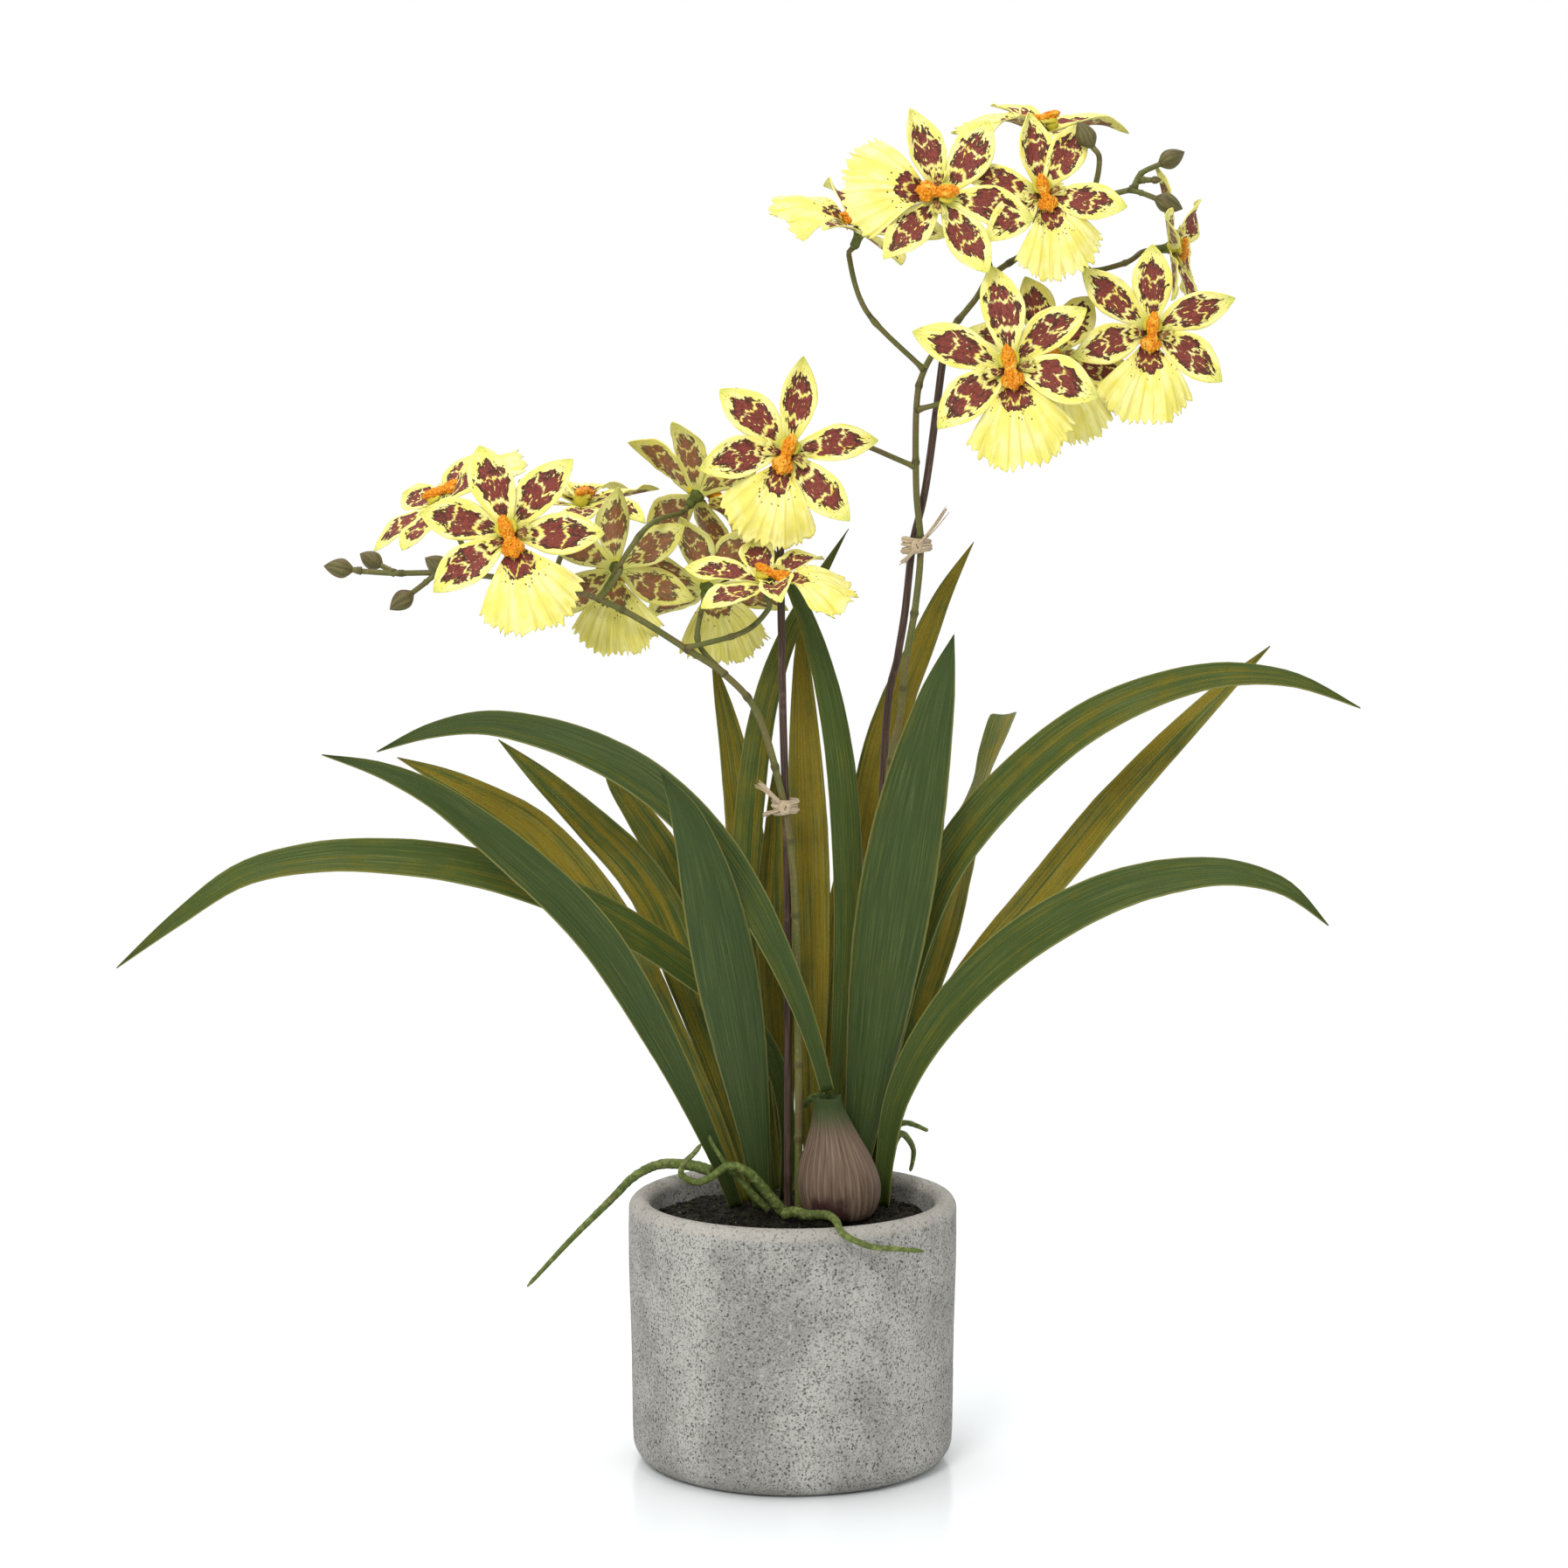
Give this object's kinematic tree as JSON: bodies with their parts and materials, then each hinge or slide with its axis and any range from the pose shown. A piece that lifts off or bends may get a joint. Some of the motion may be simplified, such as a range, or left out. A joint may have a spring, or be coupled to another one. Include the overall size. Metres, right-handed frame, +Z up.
{
  "type": "potted orchid",
  "caption": "Potted orchid with staked, arching sprays of yellow and maroon blooms above long strap leaves, in a round grey cement pot filled with dark soil.",
  "frame": {"origin": "centre of the pot's flat underside, on the surface it stands on", "axes": "+Z up; the plant's front, where its main flowers face, is -Y; +X is to the right seen from the front"},
  "size_m": [0.496, 0.1938, 0.5549],
  "materials": {
    "pot_cement": "matt, fine dark pits and speckle",
    "potting_soil": "rough dark peat and bark",
    "bulb_skin": "dry, finely striated",
    "leaf": "coated, fine woven grain, soft sheen",
    "petal": "matt, printed with maroon blotches",
    "stem": "satin, with node rings",
    "stake": "satin brown",
    "raffia": "dry straw fibre",
    "root": "rough, bumpy"
  },
  "bodies": {
    "root": {"bulb": "bulb_skin", "flower_left_1": "petal", "flower_left_2": "petal", "flower_left_3": "petal", "flower_left_4": "petal", "flower_left_5": "petal", "flower_left_6": "petal", "flower_left_7": "petal", "flower_right_1": "petal", "flower_right_2": "petal", "flower_right_3": "petal", "flower_right_4": "petal", "flower_right_5": "petal", "flower_right_6": "petal", "flower_right_7": "petal", "flower_right_8": "petal", "flower_right_9": "petal", "leaf_back_droop": "leaf", "leaf_bulb_arch": "leaf", "leaf_centre_back": "leaf", "leaf_centre_left_back": "leaf", "leaf_centre_left_tip": "leaf", "leaf_centre_right_tip": "leaf", "leaf_centre_tall": "leaf", "leaf_far_left": "leaf", "leaf_front_broad": "leaf", "leaf_left_back": "leaf", "leaf_left_front": "leaf", "leaf_left_gold": "leaf", "leaf_left_mid": "leaf", "leaf_narrow_back": "leaf", "leaf_right_arch": "leaf", "leaf_right_broad": "leaf", "leaf_right_folded": "leaf", "leaf_right_gold": "leaf", "leaf_right_low": "leaf", "leaf_right_twist": "leaf", "pot": "pot_cement", "root_coiled": "root", "root_over_front_rim": "root", "root_over_left_rim": "root", "root_right_lower": "root", "root_right_upper": "root", "root_stub": "root", "root_under": "root", "soil": "potting_soil", "spike_left": "stem", "spike_right": "stem", "stake_left": "stake", "stake_right": "stake", "tie_left": "raffia", "tie_right": "raffia"}
  },
  "joints": []
}
